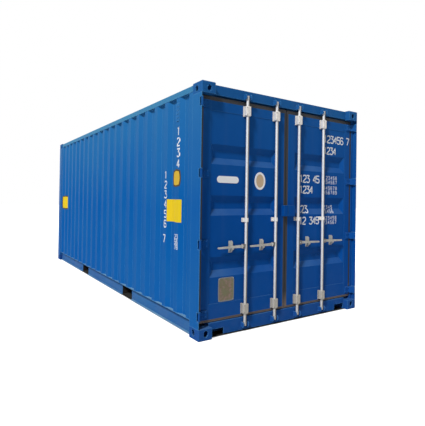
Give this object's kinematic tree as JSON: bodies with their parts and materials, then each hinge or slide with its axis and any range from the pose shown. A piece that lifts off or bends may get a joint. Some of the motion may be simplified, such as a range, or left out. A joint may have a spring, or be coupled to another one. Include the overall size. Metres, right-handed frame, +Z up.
{
  "type": "shipping container",
  "caption": "Corrugated steel freight container with double hinged doors, locking bars, fork pockets and cast corner fittings.",
  "frame": {"origin": "middle of the footprint, at the level of the bottom faces of the corner fittings", "axes": "+X along the length to the door end, +Y to the right side as seen from in front of the doors, +Z up"},
  "size_m": [6.058, 2.438, 2.591],
  "materials": {
    "skin_paint": "satin",
    "frame_paint": "satin",
    "zinc": "satin",
    "rubber": "matte",
    "plywood": "matte"
  },
  "bodies": {
    "container": {"bottom_front_left_corner_fitting": "frame_paint", "bottom_front_right_corner_fitting": "frame_paint", "bottom_rear_left_corner_fitting": "frame_paint", "bottom_rear_right_corner_fitting": "frame_paint", "cross_members": "frame_paint", "door_header": "frame_paint", "door_sill": "frame_paint", "floor_panels": "plywood", "front_bottom_beam": "frame_paint", "front_fork_pocket": "frame_paint", "front_top_beam": "frame_paint", "front_wall": "skin_paint", "header_cam_keepers": "zinc", "left_bottom_side_rail": "frame_paint", "left_front_post": "frame_paint", "left_post_hinge_lugs": "frame_paint", "left_rear_post": "frame_paint", "left_side_vent": "skin_paint", "left_side_wall": "skin_paint", "left_top_side_rail": "frame_paint", "rear_fork_pocket": "frame_paint", "right_bottom_side_rail": "frame_paint", "right_front_post": "frame_paint", "right_post_hinge_lugs": "frame_paint", "right_rear_post": "frame_paint", "right_side_vent": "skin_paint", "right_side_wall": "skin_paint", "right_top_side_rail": "frame_paint", "roof": "skin_paint", "roof_corner_plates": "skin_paint", "sill_cam_keepers": "zinc", "top_front_left_corner_fitting": "frame_paint", "top_front_right_corner_fitting": "frame_paint", "top_rear_left_corner_fitting": "frame_paint", "top_rear_right_corner_fitting": "frame_paint"},
    "left_door": {"left_door_bar_brackets": "zinc", "left_door_gasket": "rubber", "left_door_handle_catches": "zinc", "left_door_hinge_blades": "skin_paint", "left_door_panel": "skin_paint", "left_door_rails": "skin_paint", "left_door_stiles": "skin_paint", "left_lock_box": "skin_paint"},
    "right_door": {"right_door_bar_brackets": "zinc", "right_door_gasket": "rubber", "right_door_handle_catches": "zinc", "right_door_hinge_blades": "skin_paint", "right_door_panel": "skin_paint", "right_door_rails": "skin_paint", "right_door_stiles": "skin_paint", "right_lock_box": "skin_paint"},
    "left_inner_handle": {"left_inner_handle": "zinc"},
    "left_inner_bar": {"left_inner_locking_bar": "zinc"},
    "left_outer_handle": {"left_outer_handle": "zinc"},
    "left_outer_bar": {"left_outer_locking_bar": "zinc"},
    "right_inner_handle": {"right_inner_handle": "zinc"},
    "right_inner_bar": {"right_inner_locking_bar": "zinc"},
    "right_outer_handle": {"right_outer_handle": "zinc"},
    "right_outer_bar": {"right_outer_locking_bar": "zinc"}
  },
  "joints": [
    {"name": "left_door_hinge", "type": "hinge", "parent": "container", "child": "left_door", "pos_m": [3.017, -1.207, 0], "axis": [0, 0, -1], "range_deg": [0, 270]},
    {"name": "right_door_hinge", "type": "hinge", "parent": "container", "child": "right_door", "pos_m": [3.017, 1.207, 0], "axis": [0, 0, 1], "range_deg": [0, 270]},
    {"name": "left_outer_bar_turn", "type": "hinge", "parent": "left_door", "child": "left_outer_bar", "pos_m": [2.991, -0.607, 0], "axis": [0, 0, -1], "range_deg": [-100, 0]},
    {"name": "left_inner_bar_turn", "type": "hinge", "parent": "left_door", "child": "left_inner_bar", "pos_m": [2.991, -0.18, 0], "axis": [0, 0, -1], "range_deg": [-100, 0]},
    {"name": "right_outer_bar_turn", "type": "hinge", "parent": "right_door", "child": "right_outer_bar", "pos_m": [2.991, 0.607, 0], "axis": [0, 0, 1], "range_deg": [-100, 0]},
    {"name": "right_inner_bar_turn", "type": "hinge", "parent": "right_door", "child": "right_inner_bar", "pos_m": [2.991, 0.18, 0], "axis": [0, 0, 1], "range_deg": [-100, 0]},
    {"name": "left_outer_handle_lift", "type": "hinge", "parent": "left_outer_bar", "child": "left_outer_handle", "pos_m": [2.991, -0.647, 0.911], "axis": [1, 0, 0], "range_deg": [-25, 0]},
    {"name": "left_inner_handle_lift", "type": "hinge", "parent": "left_inner_bar", "child": "left_inner_handle", "pos_m": [2.991, -0.22, 0.911], "axis": [1, 0, 0], "range_deg": [-25, 0]},
    {"name": "right_outer_handle_lift", "type": "hinge", "parent": "right_outer_bar", "child": "right_outer_handle", "pos_m": [2.991, 0.647, 0.911], "axis": [-1, 0, 0], "range_deg": [-25, 0]},
    {"name": "right_inner_handle_lift", "type": "hinge", "parent": "right_inner_bar", "child": "right_inner_handle", "pos_m": [2.991, 0.22, 0.911], "axis": [-1, 0, 0], "range_deg": [-25, 0]}
  ]
}
